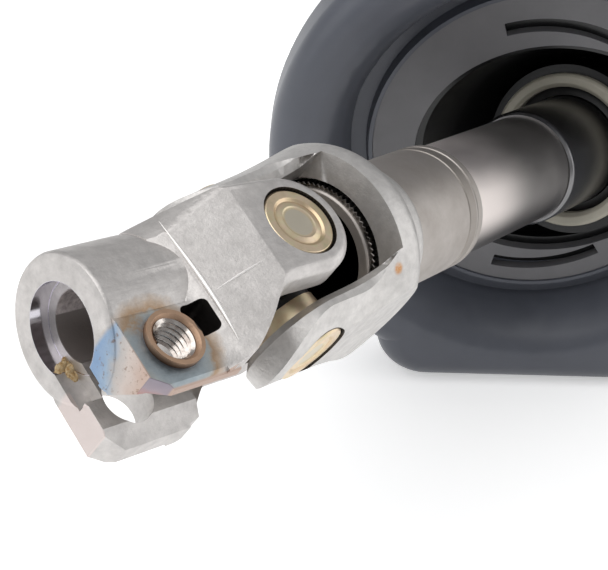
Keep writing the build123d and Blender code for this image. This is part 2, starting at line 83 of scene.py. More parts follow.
def add_node(tree, kind, inputs=None, **settings):
    """One shader node with its settings. Each socket is linked to a socket or a node, or set to a value or
    to an sRGB hex colour."""
    made = tree.nodes.new("ShaderNode" + kind)
    for name, value in settings.items():
        setattr(made, name, value)
    for socket, value in (inputs or {}).items():
        if isinstance(value, bpy.types.Node):
            value = next(output for output in value.outputs if output.enabled)
        if isinstance(value, bpy.types.NodeSocket):
            tree.links.new(value, made.inputs[socket])
        else:
            made.inputs[socket].default_value = linear(value) if isinstance(value, str) else value
    return made


PAPER_GLOW, WALL_GLOW, SHEET_SIZE, SHEET_DROP = 0.42, 0.44, 8, 0.0002
white_paper = bpy.data.materials.new("white_paper_sweep")
white_paper.use_nodes = True
tree = white_paper.node_tree
tree.nodes.clear()
ray = add_node(tree, "LightPath").outputs
seen = add_node(tree, "Math", {0: ray["Is Camera Ray"], 1: ray["Is Glossy Ray"]}, operation="MAXIMUM")
lift = add_node(tree, "Math", {0: seen, 1: PAPER_GLOW}, operation="MULTIPLY")
matte = add_node(tree, "BsdfDiffuse", {"Color": "f4f4f4"})
glow = add_node(tree, "Emission", {"Color": "ffffff", "Strength": lift})
add_node(tree, "OutputMaterial", {"Surface": add_node(tree, "AddShader", {0: matte, 1: glow})})
bpy.ops.mesh.primitive_plane_add(size=SHEET_SIZE, location=(0, 0, -SHEET_DROP))
paper = bpy.context.object
paper.name = "paper_floor"
paper.data.materials.append(white_paper)

tent = bpy.data.worlds.new("white_tent")
tent.use_nodes = True
tree = tent.node_tree
tree.nodes.clear()
ray = add_node(tree, "LightPath").outputs
walls = add_node(tree, "Background", {"Color": "e9eaec", "Strength": WALL_GLOW})
seen_white = add_node(tree, "Background", {"Color": "ffffff", "Strength": 1.0})
mix = add_node(tree, "MixShader", {0: ray["Is Camera Ray"], 1: walls, 2: seen_white})
add_node(tree, "OutputWorld", {"Surface": mix})
bpy.context.scene.world = tent

for name, place, target, size, watts in (
        ("overhead_softbox", (-0.15, 0.25, 1.25), (-0.05, 0.0, 0.1), (1.5, 1.3), 10.0),
        ("left_strip", (-0.35, 1.1, 0.6), (-0.1, 0.05, 0.1), (0.7, 0.9), 1.9),
        ("right_card", (0.25, -1.05, 0.35), (-0.1, 0.0, 0.1), (1.0, 0.7), 2.4)):
    light = bpy.data.lights.new(name, "AREA")
    light.shape, light.size, light.size_y, light.energy = "RECTANGLE", size[0], size[1], watts
    lamp = bpy.data.objects.new(name, light)
    lamp.location = place
    lamp.rotation_euler = (Vector(target) - Vector(place)).to_track_quat("-Z", "Y").to_euler()
    bpy.context.scene.collection.objects.link(lamp)


# Clamp yokes. Two forgings of medium carbon steel, shot blasted and machined at the bore, lugs
# and ears. The collar is split, one lug is tapped for the clamp bolt, and the column's one shows
# the temper colours of a weld repair at that lug.
def turn(axis, degrees):
    """Rotation about one axis."""
    return Matrix.Rotation(math.radians(degrees), 4, axis)


def along(distance):
    """Shift along X."""
    return Matrix.Translation((distance, 0, 0))


# Where the tube and the four forks lie: X runs along each, and Z is a fork's pin
BOOT_STATION, LOWER_STATION = 0.150, 0.330
TUBE = Matrix.Translation((-0.01369, 0.00547, 0.0795)) @ turn("Z", -33.0) @ turn("Y", 17.5) @ along(-BOOT_STATION)
UPPER_PINS = TUBE @ turn("X", 29.6)
COLUMN_FORK = UPPER_PINS @ turn("Y", -5.2) @ turn("Z", 180 - 7.9)
TUBE_FORK = UPPER_PINS @ turn("X", 90)
LOWER_FORK = TUBE @ along(LOWER_STATION) @ turn("Z", 180) @ turn("X", 90)
GEAR_FORK = TUBE @ along(LOWER_STATION) @ turn("Y", -4.3)


def smooth_copy(node, name, bevel=0.0, angle=32):
    """A merged copy of a CAD node's mesh that shows in its place, with softened edges."""
    copy = nodes[node].copy()
    copy.data = nodes[node].data.copy()
    copy.name = copy.data.name = name
    for key in list(copy.keys()):
        del copy[key]
    copy.parent = None
    bpy.context.scene.collection.objects.link(copy)
    bpy.ops.object.select_all(action="DESELECT")
    bpy.context.view_layer.objects.active = copy
    copy.select_set(True)
    bpy.ops.object.mode_set(mode="EDIT")
    bpy.ops.mesh.select_all(action="SELECT")
    bpy.ops.mesh.remove_doubles(threshold=2e-6)
    bpy.ops.mesh.dissolve_limited(angle_limit=math.radians(1.0))
    bpy.ops.object.mode_set(mode="OBJECT")
    if bevel:
        soft = copy.modifiers.new("soft_edges", "BEVEL")
        soft.width, soft.segments, soft.limit_method = bevel, 3, "ANGLE"
        soft.angle_limit = math.radians(28)
        bpy.ops.object.modifier_apply(modifier=soft.name)
    bpy.ops.object.shade_smooth_by_angle(angle=math.radians(angle))
    flat = copy.modifiers.new("flat_faces", "WEIGHTED_NORMAL")
    flat.keep_sharp = True
    bpy.ops.object.modifier_apply(modifier=flat.name)
    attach(copy, nodes[node]["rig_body"])
    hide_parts(node)
    return copy


def wear(piece, material):
    """Give a piece its one material."""
    piece.data.materials.clear()
    piece.data.materials.append(material)


def bare_material(name, place=None):
    """A material with an empty node tree, the tree, and its coordinates in metres, in a piece's own frame
    where a place is given."""
    material = bpy.data.materials.new(name)
    material.use_nodes = True
    tree = material.node_tree
    tree.nodes.clear()
    where = add_node(tree, "TexCoord").outputs["Object"]
    if place:
        back = place.inverted()
        where = add_node(tree, "Mapping", {"Vector": where, "Location": back.translation, "Rotation": back.to_euler()})
    return material, tree, where


def region(tree, *edges):
    """Mask that is 1 where every value has gone from its first number to past its second, with soft edges."""
    mask = None
    for value, outside, inside in edges:
        edge = add_node(tree, "MapRange", {0: value, 1: outside, 2: inside}, interpolation_type="SMOOTHSTEP")
        mask = add_node(tree, "Math", {0: mask, 1: edge}, operation="MULTIPLY") if mask else edge
    return mask


def set_stops(ramp, low, high, stops):
    """Colours of a ramp over low to high, from (value, sRGB hex) pairs."""
    marks = ramp.color_ramp.elements
    for mark, (value, code) in ((marks[0], stops[0]), (marks[1], stops[-1])):
        mark.position, mark.color = (value - low) / (high - low), linear(code)
    for value, code in stops[1:-1]:
        marks.new((value - low) / (high - low)).color = linear(code)


def steel_surface(tree, colour, roughness, height, strength, distance, bare=1.0):
    """Steel with a relief, as the material's surface. bare is under 1 where a film of oxide or oil hides it."""
    relief = add_node(tree, "Bump", {"Strength": strength, "Distance": distance, "Height": height})
    shader = add_node(tree, "BsdfPrincipled", {"Base Color": colour, "Metallic": bare, "Roughness": roughness,
                                               "Normal": relief})
    add_node(tree, "OutputMaterial", {"Surface": shader})


# Sizes of the patterns on the forgings, in mm: soft clouds, the blasting's mottle and grit, tool
# marks by length and width, heat stains and specks of rust
CLOUD, MOTTLE, GRIT, MARK_LENGTH, MARK_WIDTH, STAIN, SPECK = 10.53, 2.326, 0.6667, 14.29, 1.4286, 3.846, 1.111
BOLT, HEAT = (0.0396, 0.0142, 0), (0.0413, 0.0156, 0)
LUG_FRONT = (0.04826, 0.04842)


def lug_heat(tree, local, colour):
    """Temper colours round the tapped lug: copper on the boss with painted shade at its foot, blue-grey round
    it inside a straw halo, light blue to cream on the front face, and purple and pink on the ends."""
    x, y, z = add_node(tree, "SeparateXYZ", {0: local}).outputs
    stain = add_node(tree, "TexNoise", {"Vector": local, "Scale": 1000 / STAIN, "Detail": 4.0, "Roughness": 0.6})
    speck = add_node(tree, "TexNoise", {"Vector": local, "Scale": 1000 / SPECK, "Detail": 3.0, "Roughness": 0.7})
    flat = add_node(tree, "VectorMath", {0: local, 1: (1, 1, 0)}, operation="MULTIPLY")
    from_boss = add_node(tree, "VectorMath", {0: flat, 1: BOLT}, operation="DISTANCE")
    from_heat = add_node(tree, "VectorMath", {0: flat, 1: HEAT}, operation="DISTANCE")
    # Halo round the boss, and a brown patch at the facet's corner
    reach = add_node(tree, "Math", {0: stain, 1: 0.0034, 2: from_heat}, operation="MULTIPLY_ADD")
    halo = add_node(tree, "ValToRGB", {0: add_node(tree, "MapRange", {0: reach, 1: 0.004, 2: 0.015})})
    set_stops(halo, 0.004, 0.015, (
        (0.0060, "93a4b0"), (0.0070, "c3d4df"), (0.0088, "d2e1ea"), (0.0100, "dbe3e4"), (0.0108, "ddc1a4"),
        (0.0117, "ecdccb"), (0.0134, "ffffff")))
    colour = add_node(tree, "Mix", {0: region(tree, (z, 0.0075, 0.0095)), "A": colour, "B": halo},
                      data_type="RGBA", blend_type="MULTIPLY")
    from_patch = add_node(tree, "VectorMath", {0: local, 1: (0.0452, 0.0086, 0.0128)}, operation="DISTANCE")
    crumbs = add_node(tree, "MapRange", {0: speck, 1: 0.35, 2: 0.62, 3: 0.25})
    patch = add_node(tree, "Math", {0: region(tree, (from_patch, 0.0036, 0.0010)), 1: crumbs}, operation="MULTIPLY")
    colour = add_node(tree, "Mix", {0: patch, "A": colour, "B": "b39a80"}, data_type="RGBA")
    # Front face of the upper lug, from its inner corner outwards
    diagonal = add_node(tree, "Math", {0: z, 1: 0.45, 2: y}, operation="MULTIPLY_ADD")
    diagonal = add_node(tree, "Math", {0: stain, 1: 0.0045, 2: diagonal}, operation="MULTIPLY_ADD")
    face = add_node(tree, "ValToRGB", {0: add_node(tree, "MapRange", {0: diagonal, 1: 0.012, 2: 0.028})})
    set_stops(face, 0.012, 0.028, (
        (0.0140, "93acca"), (0.0168, "a9bbcd"), (0.0188, "c6c2bf"), (0.0215, "d6cbc4"), (0.0262, "cdb8ac")))
    specks = add_node(tree, "MapRange", {0: speck, 1: 0.58, 2: 0.68, 4: 0.6})
    face = add_node(tree, "Mix", {0: specks, "A": face, "B": "8a6850"}, data_type="RGBA")
    front = region(tree, (x, *LUG_FRONT), (z, 0.0004, 0.0010), (y, 0.0070, 0.0082))
    colour = add_node(tree, "Mix", {0: front, "A": colour, "B": face}, data_type="RGBA")
    # Cut corner and end of the lug
    outwards = add_node(tree, "VectorMath", {0: local, 1: (0.606, 0.795, 0)}, operation="DOT_PRODUCT")
    height = add_node(tree, "Math", {0: stain, 1: 0.003, 2: z}, operation="MULTIPLY_ADD")
    purple = add_node(tree, "ValToRGB", {0: add_node(tree, "MapRange", {0: height, 1: 0.008, 2: 0.016})})
    set_stops(purple, 0.008, 0.016, ((0.0095, "bb938a"), (0.0120, "a59aa1"), (0.0150, "98919a")))
    corner = region(tree, (outwards, 0.04495, 0.04508), (z, 0.0075, 0.0085))
    colour = add_node(tree, "Mix", {0: corner, "A": colour, "B": purple}, data_type="RGBA")
    end = region(tree, (y, 0.0225, 0.0228), (z, 0.0075, 0.0085))
    colour = add_node(tree, "Mix", {0: end, "A": colour, "B": "bfa99c"}, data_type="RGBA")
    # Copper brown boss, with painted shade darkening it towards its foot
    rise = add_node(tree, "Math", {0: stain, 1: 0.0008, 2: z}, operation="MULTIPLY_ADD")
    shade = add_node(tree, "MapRange", {0: rise, 1: 0.0138, 2: 0.0156})
    copper_and_foot_shade = add_node(tree, "Mix", {0: shade, "A": "6a5040", "B": "c9a98f"}, data_type="RGBA")
    boss = region(tree, (from_boss, 0.00635, 0.00605), (z, 0.01325, 0.01345))
    colour = add_node(tree, "Mix", {0: boss, "A": colour, "B": copper_and_foot_shade}, data_type="RGBA")
    # The end of the lower lug in an even light pinkish grey
    lower = region(tree, (x, *LUG_FRONT), (z, -0.0050, -0.0056), (y, 0.0080, 0.0092))
    return add_node(tree, "Mix", {0: lower, "A": colour, "B": "ddd2ce"}, data_type="RGBA")


def bored_collar(tree, local, colour, roughness, height):
    """Bright turned counterbore, the bore behind it, mottled and darker on its lower side, and painted shade on the
    walls of the small window.
    """
    x, y, z = add_node(tree, "SeparateXYZ", {0: local}).outputs
    across = add_node(tree, "CombineXYZ", {1: y, 2: z})
    radius = add_node(tree, "VectorMath", {0: across}, operation="LENGTH")
    oil = add_node(tree, "TexNoise", {"Vector": local, "Scale": 1000 / MARK_WIDTH, "Detail": 4.0, "Roughness": 0.7})
    bore_tone = add_node(tree, "Mix", {0: add_node(tree, "MapRange", {0: oil, 1: 0.35, 2: 0.65}),
                                  "A": "8d8483", "B": "cbc1bf"}, data_type="RGBA")
    # The bore is darker on its lower side, below z = -4 mm
    bore_tone = add_node(tree, "Mix", {0: region(tree, (z, -0.0040, -0.0043)), "A": bore_tone, "B": "6f6864"},
                    data_type="RGBA")
    bore = region(tree, (radius, 0.00725, 0.00715))
    colour = add_node(tree, "Mix", {0: bore, "A": colour, "B": bore_tone}, data_type="RGBA")
    # Distance from the window's middle, less its straight half sides, so that its corners come round
    sides = []
    for value, middle, straight in ((x, 0.0312, 0.0015), (y, 0.0115, 0.0022)):
        shift = add_node(tree, "Math", {0: value, 1: middle}, operation="SUBTRACT")
        away = add_node(tree, "Math", {0: shift}, operation="ABSOLUTE")
        past = add_node(tree, "Math", {0: away, 1: straight}, operation="SUBTRACT")
        sides.append(add_node(tree, "Math", {0: past, 1: 0.0}, operation="MAXIMUM"))
    corner = add_node(tree, "CombineXYZ", {0: sides[0], 1: sides[1]})
    from_corner = add_node(tree, "VectorMath", {0: corner}, operation="LENGTH")
    # Painted shade: the small window's walls are painted dark grey
    window = region(tree, (from_corner, 0.00138, 0.00132), (z, -0.0060, -0.0055))
    colour = add_node(tree, "Mix", {0: window, "A": colour, "B": "45413f"}, data_type="RGBA")
    turned = region(tree, (radius, 0.00942, 0.00936), (x, 0.04476, 0.04480), (radius, 0.00915, 0.00920))
    colour = add_node(tree, "Mix", {0: turned, "A": colour, "B": "cfccd3"}, data_type="RGBA")
    roughness = add_node(tree, "Mix", {0: turned, 2: roughness, 3: 0.14})
    blasted = add_node(tree, "Math", {0: 1.0, 1: turned}, operation="SUBTRACT")
    height = add_node(tree, "Math", {0: height, 1: blasted}, operation="MULTIPLY")
    bare = add_node(tree, "Math", {0: bore, 1: -0.75, 2: 1.0}, operation="MULTIPLY_ADD")
    return colour, roughness, height, bare


def forged_steel(name, place, base, heat=None, cut=None):
    """Shot blasted forging steel: even warm grey, fine grit, long soft tool marks, and painted shade in the
    gap round each pressed cup. Heat tint and machined faces come on top where they are given."""
    material, tree, local = bare_material(name, place)
    cloud = add_node(tree, "TexNoise", {"Vector": local, "Scale": 1000 / CLOUD, "Detail": 5.0, "Roughness": 0.6})
    mottle = add_node(tree, "TexNoise", {"Vector": local, "Scale": 1000 / MOTTLE, "Detail": 4.0, "Roughness": 0.7})
    grit = add_node(tree, "TexNoise", {"Vector": local, "Scale": 1000 / GRIT, "Detail": 3.0, "Roughness": 0.7})
    lengthwise = add_node(tree, "Mapping", {
        "Vector": local, "Scale": (1000 / MARK_LENGTH, 1000 / MARK_WIDTH, 1000 / MARK_WIDTH)})
    marks = add_node(tree, "TexNoise", {"Vector": lengthwise, "Scale": 1.0, "Detail": 4.0, "Roughness": 0.75})
    half_cloud = add_node(tree, "Math", {0: cloud, 1: 0.5}, operation="MULTIPLY")
    shade = add_node(tree, "Math", {0: mottle, 1: 0.8, 2: half_cloud}, operation="MULTIPLY_ADD")
    dark = tuple(c * 0.80 for c in linear(base)[:3]) + (1.0,)
    colour = add_node(tree, "Mix", {0: add_node(tree, "MapRange", {0: shade, 1: 0.48, 2: 0.82}),
                                    "A": dark, "B": base}, data_type="RGBA")
    if heat:
        colour = heat(tree, local, colour)
    x, y, z = add_node(tree, "SeparateXYZ", {0: local}).outputs
    # Painted shade in the recess round each pressed cup: a dark line between cup and ear
    from_pin = add_node(tree, "VectorMath", {0: add_node(tree, "CombineXYZ", {0: x, 1: y})}, operation="LENGTH")
    outwards = add_node(tree, "Math", {0: z}, operation="ABSOLUTE")
    gap_shade = region(tree, (from_pin, 0.00845, 0.00832), (outwards, 0.02048, 0.02046), (outwards, 0.0140, 0.0150))
    colour = add_node(tree, "Mix", {0: gap_shade, "A": colour, "B": "2a2421"}, data_type="RGBA")
    dull = add_node(tree, "MapRange", {0: cloud, 1: 0.25, 2: 0.75, 3: 0.50, 4: 0.38})
    roughness = add_node(tree, "Math", {0: marks, 1: 0.14, 2: dull}, operation="MULTIPLY_ADD")
    pits = add_node(tree, "Math", {0: grit, 1: 0.5, 2: marks}, operation="MULTIPLY_ADD")
    height = add_node(tree, "Math", {0: mottle, 1: 0.8, 2: pits}, operation="MULTIPLY_ADD")
    bare = 1.0
    if cut:
        colour, roughness, height, bare = cut(tree, local, colour, roughness, height)
    steel_surface(tree, colour, roughness, height, 0.42, 0.00022, bare)
    return material


YOKE_EDGE = 0.00035
wear(smooth_copy("column_yoke", "column_yoke_forging", YOKE_EDGE),
     forged_steel("blasted_forging_steel_tinted", COLUMN_FORK, "dad6d3", lug_heat, bored_collar))
wear(smooth_copy("gear_yoke", "gear_yoke_forging", YOKE_EDGE),
     forged_steel("blasted_forging_steel", GEAR_FORK, "d6d2cf", None, bored_collar))


# Clamp threads. A right-handed M10 by 1.25 thread, cut in the boss and drawn from the boss's top
# down to where the slit's bevel opens the hole. Its crests stand 0.65 mm in from their roots.
def seat(piece, name, place, body):
    """Put a piece made at the world's middle in its place, with its own origin left at zero."""
    piece.name = piece.data.name = name
    piece.matrix_world = place @ piece.matrix_world
    bpy.ops.object.select_all(action="DESELECT")
    bpy.context.view_layer.objects.active = piece
    piece.select_set(True)
    bpy.ops.object.transform_apply(location=True, rotation=True, scale=True)
    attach(piece, body)


PITCH, TURNS, CREST_R, ROOT_R, HALF_RIDGE = 0.00125, 6, 0.00375, 0.00440, 0.00050
THREAD_START = (0.0396, 0.0142, 0.0066)
FORKS = (("column", COLUMN_FORK, "column_end"), ("gear", GEAR_FORK, "gear_end"))

# Steel fresh from the tap: bright crests, browner where oil has dried in 2 mm patches
thread_steel, tree, where = bare_material("tapped_thread_steel")
oil = add_node(tree, "TexNoise", {"Vector": where, "Scale": 1000 / 2.0, "Detail": 3.0, "Roughness": 0.6})
colour = add_node(tree, "Mix", {0: add_node(tree, "MapRange", {0: oil, 1: 0.35, 2: 0.65}),
                                "A": "a3968e", "B": "d8d2cc"}, data_type="RGBA")
tears = add_node(tree, "TexNoise", {"Vector": where, "Scale": 1000 / 0.4, "Detail": 3.0, "Roughness": 0.6})
steel_surface(tree, colour, 0.2, tears, 0.15, 0.0001)

for end, fork, body in FORKS:
    bpy.ops.mesh.primitive_circle_add(vertices=3, radius=0.001, fill_type="NOTHING")
    ridge = bpy.context.object
    profile = ((CREST_R, 0, 0), (ROOT_R, 0, -HALF_RIDGE), (ROOT_R, 0, HALF_RIDGE))
    for point, place in zip(ridge.data.vertices, profile):
        point.co = place
    helix = ridge.modifiers.new("helix", "SCREW")
    helix.angle, helix.screw_offset, helix.iterations = 2 * math.pi, PITCH, TURNS
    helix.steps = helix.render_steps = 40
    bpy.ops.object.modifier_apply(modifier=helix.name)
    bpy.ops.object.mode_set(mode="EDIT")
    bpy.ops.mesh.select_all(action="SELECT")
    bpy.ops.mesh.normals_make_consistent(inside=False)
    bpy.ops.object.mode_set(mode="OBJECT")
    bpy.ops.object.shade_smooth_by_angle(angle=math.radians(30))
    wear(ridge, thread_steel)
    seat(ridge, f"{end}_thread", fork @ Matrix.Translation(THREAD_START), body)

# Forging creases. Where the side plate was bent down to the collar the steel's skin stands up in a
# thin line, and a second, fainter one runs from it towards the bearing cup.
BEND_CREASE = ((0.0279, -0.0095, 0.01524), (0.0272, 0.0010, 0.01546), (0.0268, 0.0075, 0.01560),
               (0.0271, 0.0135, 0.01550), (0.0275, 0.0185, 0.01536))
RIB_CREASE = ((0.0264, 0.0079, 0.01570), (0.0228, 0.0073, 0.01697), (0.0200, 0.0069, 0.01792),
              (0.0172, 0.0065, 0.01888), (0.0140, 0.0061, 0.01996))
TAPER = (0.05, 0.8, 1.0, 0.8, 0.05)

# Near-white steel, a painted highlight along the raised crease, with a grit of 0.67 mm
ridge_highlight_steel, tree, where = bare_material("forging_ridge_painted_highlight")
ridge_grit = add_node(tree, "TexNoise", {"Vector": where, "Scale": 1000 / GRIT, "Detail": 3.0, "Roughness": 0.6})
steel_surface(tree, "f6f3f0", 0.5, ridge_grit, 0.3, 0.0001)

for end, fork, body in FORKS:
    for part, line, radius in (("bend", BEND_CREASE, 0.00078), ("rib", RIB_CREASE, 0.00036)):
        bpy.ops.curve.primitive_nurbs_path_add()
        crease = bpy.context.object
        spline = crease.data.splines[0]
        for point, place, share in zip(spline.points, line, TAPER):
            point.co, point.radius = (*place, 1.0), share
        spline.resolution_u = 12
        crease.data.bevel_depth, crease.data.bevel_resolution = radius, 3
        bpy.ops.object.convert(target="MESH")
        bpy.ops.object.shade_smooth()
        wear(crease, ridge_highlight_steel)
        seat(crease, f"{end}_{part}_crease", fork, body)

# Dried locking compound. Flakes of an anaerobic resin cling to the counterbore of the column's
# collar, by the notch, where the old shaft was pulled out.
FLAKES = (((0.0466, 0.0036, -0.00845), (0.0019, 0.0016, 0.00035), -22),
          ((0.0455, 0.0049, -0.00820), (0.0013, 0.0019, 0.00045), -10),
          ((0.0451, 0.0022, -0.00880), (0.0008, 0.0011, 0.00040), -14))

# Dull, crumbly resin, tan to ochre in 1.1 mm patches, with crumbs of 0.33 mm
compound, tree, where = bare_material("dried_locking_compound")
patches = add_node(tree, "TexNoise", {"Vector": where, "Scale": 1000 / 1.111, "Detail": 3.0, "Roughness": 0.6})
colour = add_node(tree, "Mix", {0: add_node(tree, "MapRange", {0: patches, 1: 0.38, 2: 0.62}),
                                "A": "a07a45", "B": "d8c39a"}, data_type="RGBA")
crumbs = add_node(tree, "TexNoise", {"Vector": where, "Scale": 1000 / 0.3333, "Detail": 3.0, "Roughness": 0.6})
relief = add_node(tree, "Bump", {"Strength": 0.5, "Distance": 0.0002, "Height": crumbs})
shader = add_node(tree, "BsdfPrincipled", {"Base Color": colour, "Roughness": 0.7, "Normal": relief})
add_node(tree, "OutputMaterial", {"Surface": shader})

crumble = bpy.data.textures.new("crumble", "CLOUDS")
crumble.noise_scale = 0.0011
for number, (place, size, tilt) in enumerate(FLAKES):
    bpy.ops.mesh.primitive_ico_sphere_add(subdivisions=4, radius=1.0)
    flake = bpy.context.object
    flake.scale = size
    bpy.ops.object.transform_apply(scale=True)
    rough = flake.modifiers.new("rough", "DISPLACE")
    rough.texture, rough.strength, rough.mid_level = crumble, 0.0011, 0.5
    bpy.ops.object.modifier_apply(modifier=rough.name)
    bpy.ops.object.shade_smooth()
    wear(flake, compound)
    seat(flake, f"locking_compound_{number}", COLUMN_FORK @ Matrix.Translation(place) @ turn("X", tilt),
         "column_end")


# Shaft-side forks. Closed-die forgings of the same steel with a bright, finely blasted skin,
# machined flat at the ears and round the rim of the bowl. The upper one has a spot of rust.
def rust_spot(tree, local, colour):
    """A tan rust spot on the flat rim, grainy at 0.7 mm."""
    from_spot = add_node(tree, "VectorMath", {0: local, 1: (0.0205, 0.0164, 0.0164)}, operation="DISTANCE")
    rust = add_node(tree, "TexNoise", {"Vector": local, "Scale": 1000 / 0.7143, "Detail": 3.0, "Roughness": 0.6})
    grain = add_node(tree, "MapRange", {0: rust, 1: 0.3, 2: 0.6, 3: 0.4})
    spot = add_node(tree, "Math", {0: region(tree, (from_spot, 0.0017, 0.0006)), 1: grain}, operation="MULTIPLY")
    return add_node(tree, "Mix", {0: spot, "A": colour, "B": "cf9350"}, data_type="RGBA")


for node, fork, heat in (("tube_yoke", TUBE_FORK, rust_spot), ("lower_fork", LOWER_FORK, None)):
    steel = forged_steel("bright_forging_steel_" + node, fork, "dedbd8", heat)
    wear(smooth_copy(node, node + "_forging", 0.0005), steel)


# Bearing cups. Drawn steel shells with a turned face, zinc plated and passivated yellow, pressed
# in the ears. Each shows a raised rim, a shallow groove and a flat middle.
def yellow_zinc(name, place):
    """Pale gold passivated zinc: iridescent towards pink and green in 4.8 mm clouds, with turning rings
    0.31 mm apart."""
    material, tree, local = bare_material(name, place)
    x, y, z = add_node(tree, "SeparateXYZ", {0: local}).outputs
    radius = add_node(tree, "VectorMath", {0: add_node(tree, "CombineXYZ", {0: x, 1: y})}, operation="LENGTH")
    outwards = add_node(tree, "CombineXYZ", {0: radius})
    rings = add_node(tree, "TexNoise", {"Vector": outwards, "Scale": 1000 / 0.3125, "Detail": 2.0, "Roughness": 0.6})
    cloud = add_node(tree, "TexNoise", {"Vector": local, "Scale": 1000 / 4.762, "Detail": 3.0, "Roughness": 0.6})
    gold = add_node(tree, "ValToRGB", {0: add_node(tree, "MapRange", {0: cloud, 1: 0.25, 2: 0.75})})
    set_stops(gold, 0.25, 0.75, (
        (0.30, "e3cca8"), (0.43, "e6d8b6"), (0.52, "ecd6ba"), (0.62, "e2cfae"), (0.70, "d9cda8")))
    middle = region(tree, (radius, 0.0034, 0.0030))
    colour = add_node(tree, "Mix", {0: middle, "A": gold, "B": "dcd3c0"}, data_type="RGBA")
    groove = region(tree, (radius, 0.0047, 0.0052), (radius, 0.0062, 0.0057))
    tint = add_node(tree, "Math", {0: groove, 1: 0.35}, operation="MULTIPLY")
    colour = add_node(tree, "Mix", {0: tint, "A": colour, "B": "b89a6e"}, data_type="RGBA")
    roughness = add_node(tree, "MapRange", {0: cloud, 1: 0.25, 2: 0.75, 3: 0.42, 4: 0.32})
    steel_surface(tree, colour, roughness, rings, 0.22, 0.00006)
    return material


for node, fork in (("column_cups", COLUMN_FORK), ("tube_yoke_cups", TUBE_FORK), ("lower_fork_cups", LOWER_FORK),
                   ("gear_cups", GEAR_FORK)):
    wear(smooth_copy(node, node + "_plated", 0.00012),
         yellow_zinc("yellow_passivated_zinc_" + node, fork))

# Seals. Moulded nitrile rubber rings between the cups and the cross, and the same rubber for the
# wiper on the tube's end and the lip in the boot's bush.
# Its look: black with a soft sheen, a dusty bloom in 6.3 mm clouds and a moulded grain of 0.42 mm
nitrile, tree, where = bare_material("moulded_nitrile_rubber")
bloom = add_node(tree, "TexNoise", {"Vector": where, "Scale": 1000 / 6.25, "Detail": 3.0, "Roughness": 0.6})
colour = add_node(tree, "Mix", {0: add_node(tree, "MapRange", {0: bloom, 1: 0.35, 2: 0.75}),
                                "A": "131314", "B": "262627"}, data_type="RGBA")
grain = add_node(tree, "TexNoise", {"Vector": where, "Scale": 1000 / 0.4167, "Detail": 3.0, "Roughness": 0.6})
relief = add_node(tree, "Bump", {"Strength": 0.2, "Distance": 0.0001, "Height": grain})
shader = add_node(tree, "BsdfPrincipled", {"Base Color": colour, "Roughness": 0.5, "Normal": relief})
add_node(tree, "OutputMaterial", {"Surface": shader})
for node in ("column_cup_seals", "tube_yoke_seals", "lower_fork_seals", "gear_cup_seals", "boot_seal", "slip_wiper"):
    wear(nodes[node], nitrile)

# Crosses and rollers. Case hardened bearing steel: the cross is forged with ground trunnions, and
# the needle sets are ground all over.
# Its look: a dark skin with a film of grease in 4.5 mm patches over a 0.67 mm grain
bearing, tree, where = bare_material("ground_bearing_steel")
grease = add_node(tree, "TexNoise", {"Vector": where, "Scale": 1000 / 4.545, "Detail": 4.0, "Roughness": 0.6})
film = add_node(tree, "MapRange", {0: grease, 1: 0.35, 2: 0.7})
colour = add_node(tree, "Mix", {0: film, "A": "6f665f", "B": "98928c"}, data_type="RGBA")
dull = add_node(tree, "MapRange", {0: film, 3: 0.28, 4: 0.4})
grain = add_node(tree, "TexNoise", {"Vector": where, "Scale": 1000 / 0.6667, "Detail": 3.0, "Roughness": 0.6})
steel_surface(tree, colour, dull, grain, 0.2, 0.0001)
for node in ("column_rollers", "tube_yoke_rollers", "lower_fork_rollers", "gear_rollers"):
    wear(nodes[node], bearing)
for node in ("upper_cross", "lower_cross"):
    wear(smooth_copy(node, node + "_forging", 0.0003), bearing)

# Steering tube. Cold drawn seamless steel with a matte phosphated skin at its full size, two fine
# grooves before the step, and a neck turned bright as far as the polished sleeve.
# Its look: grey-beige in 8.3 mm clouds with drawing marks 25 mm long, and turning lines 0.38 mm apart
# on the neck, which has a painted highlight by the step, a darker grey further on, and painted shade underneath
STEP, GROOVE_BAND, NECK_HIGHLIGHT_SPAN = 0.0755, (0.0682, 0.0718), (0.084, 0.108)
drawn_steel, tree, local = bare_material("drawn_tube_steel", TUBE)
x, y, z = add_node(tree, "SeparateXYZ", {0: local}).outputs
across = add_node(tree, "CombineXYZ", {1: y, 2: z})
radius = add_node(tree, "VectorMath", {0: across}, operation="LENGTH")
cloud = add_node(tree, "TexNoise", {"Vector": local, "Scale": 1000 / 8.333, "Detail": 5.0, "Roughness": 0.6})
lines = add_node(tree, "TexNoise", {"Vector": add_node(tree, "CombineXYZ", {0: x}), "Scale": 1000 / 0.3846,
                                    "Detail": 3.0, "Roughness": 0.7})
lengthwise = add_node(tree, "Mapping", {"Vector": local, "Scale": (1000 / 25, 1000 / 1.4286, 1000 / 1.4286)})
drawn = add_node(tree, "TexNoise", {"Vector": lengthwise, "Scale": 1.0, "Detail": 4.0, "Roughness": 0.6})
matte = add_node(tree, "Mix", {0: add_node(tree, "MapRange", {0: cloud, 1: 0.3, 2: 0.7}),
                               "A": "aaa39d", "B": "bdb7b2"}, data_type="RGBA")
# Painted highlight: the neck is near white by the step and fades to a darker grey towards the sleeve
neck_highlight = region(tree, (x, NECK_HIGHLIGHT_SPAN[1], NECK_HIGHLIGHT_SPAN[0]))
neck_light_and_shade = add_node(tree, "Mix", {0: neck_highlight, "A": "9b9794", "B": "f2e9e4"}, data_type="RGBA")
